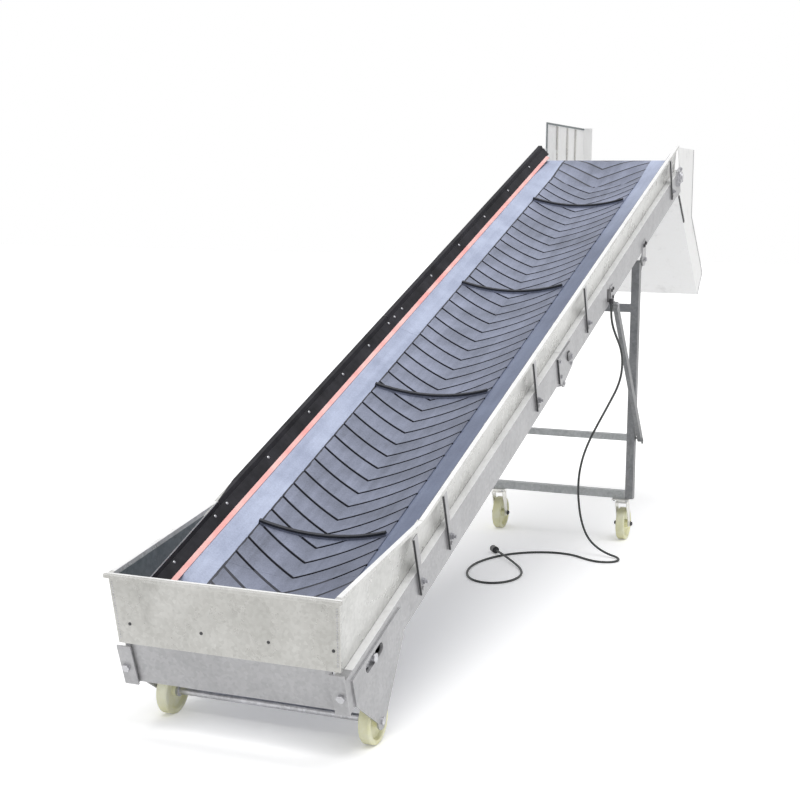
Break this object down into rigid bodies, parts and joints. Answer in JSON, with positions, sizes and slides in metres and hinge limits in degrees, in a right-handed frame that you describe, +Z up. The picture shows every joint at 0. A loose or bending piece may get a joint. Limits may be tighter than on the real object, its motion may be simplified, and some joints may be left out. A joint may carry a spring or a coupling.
{
  "type": "folding belt conveyor",
  "caption": "Inclined folding belt conveyor with a feed hopper, troughed chevron belt, discharge chute and a braced wheeled stand.",
  "frame": {"origin": "middle of the box on the floor, under the conveyor's centre line", "axes": "+Y from the hopper to the head, +Z up, +X to the right looking up the belt"},
  "size_m": [0.8791, 5.3192, 2.19],
  "materials": {
    "rail_grey": "satin",
    "sheet_white": "satin",
    "stand_grey": "satin",
    "belt_rubber": "matt",
    "seal_rubber": "matt",
    "drum_steel": "turned",
    "castor_steel": "zinc plated",
    "wheel_nylon": "moulded",
    "cable_rubber": "matt"
  },
  "bodies": {
    "lower_section": {"lower_rail_left": "rail_grey", "lower_rail_right": "rail_grey", "lower_skirt_left": "sheet_white", "lower_skirt_right": "sheet_white", "hopper_front": "sheet_white", "tail_cross_plate": "rail_grey", "lower_straps": "rail_grey", "lower_belt": "belt_rubber", "tail_drum": "drum_steel", "take_ups": "drum_steel", "lower_belt_supports": "drum_steel", "lower_seals": "seal_rubber", "fold_lugs": "rail_grey", "wheel_brackets": "rail_grey", "low_axle": "drum_steel"},
    "upper_section": {"upper_rail_left": "rail_grey", "upper_rail_right": "rail_grey", "upper_skirt_left": "sheet_white", "upper_skirt_right": "sheet_white", "upper_straps": "rail_grey", "upper_belt": "belt_rubber", "head_drum": "drum_steel", "upper_belt_supports": "drum_steel", "upper_seals": "seal_rubber", "fold_plates": "rail_grey", "leg_brackets": "rail_grey", "brace_lugs": "rail_grey", "head_bearings": "drum_steel", "chute": "sheet_white", "head_guard": "sheet_white", "cable_gland": "cable_rubber", "cable": "cable_rubber", "cable_plug": "cable_rubber"},
    "leg_frame": {"post_left": "stand_grey", "post_right": "stand_grey", "low_crossbar": "stand_grey", "mid_crossbar": "stand_grey", "high_crossbar": "stand_grey", "castor_plates": "castor_steel"},
    "brace_left": {"brace_left": "stand_grey"},
    "brace_right": {"brace_right": "stand_grey"},
    "castor_left": {"castor_fork_left": "castor_steel"},
    "castor_right": {"castor_fork_right": "castor_steel"},
    "castor_wheel_left": {"castor_wheel_left": "wheel_nylon"},
    "castor_wheel_right": {"castor_wheel_right": "wheel_nylon"},
    "low_wheel_left": {"low_wheel_left": "wheel_nylon"},
    "low_wheel_right": {"low_wheel_right": "wheel_nylon"}
  },
  "joints": [
    {"name": "section_fold", "type": "hinge", "parent": "lower_section", "child": "upper_section", "pos_m": [0, -0.35427, 0.96293], "axis": [-1, 0, 0], "range_deg": [0, 70]},
    {"name": "leg_fold", "type": "hinge", "parent": "upper_section", "child": "leg_frame", "pos_m": [0, 1.02574, 1.45199], "axis": [1, 0, 0], "range_deg": [0, 60]},
    {"name": "brace_left_swing", "type": "hinge", "parent": "upper_section", "child": "brace_left", "pos_m": [-0.414, 0.4387, 1.25202], "axis": [1, 0, 0], "range_deg": [0, 50]},
    {"name": "castor_left_swivel", "type": "hinge", "parent": "leg_frame", "child": "castor_left", "pos_m": [-0.336, 0.98574, 0.205], "axis": [0, 0, 1], "continuous": true},
    {"name": "castor_wheel_left_spin", "type": "hinge", "parent": "castor_left", "child": "castor_wheel_left", "pos_m": [-0.336, 1.02074, 0.084], "axis": [1, 0, 0], "continuous": true},
    {"name": "low_wheel_left_spin", "type": "hinge", "parent": "lower_section", "child": "low_wheel_left", "pos_m": [-0.37, -2.31026, 0.08], "axis": [1, 0, 0], "continuous": true},
    {"name": "brace_right_swing", "type": "hinge", "parent": "upper_section", "child": "brace_right", "pos_m": [0.414, 0.4387, 1.25202], "axis": [1, 0, 0], "range_deg": [0, 50]},
    {"name": "castor_right_swivel", "type": "hinge", "parent": "leg_frame", "child": "castor_right", "pos_m": [0.336, 0.98574, 0.205], "axis": [0, 0, 1], "continuous": true},
    {"name": "castor_wheel_right_spin", "type": "hinge", "parent": "castor_right", "child": "castor_wheel_right", "pos_m": [0.336, 1.02074, 0.084], "axis": [1, 0, 0], "continuous": true},
    {"name": "low_wheel_right_spin", "type": "hinge", "parent": "lower_section", "child": "low_wheel_right", "pos_m": [0.37, -2.31026, 0.08], "axis": [1, 0, 0], "continuous": true}
  ]
}
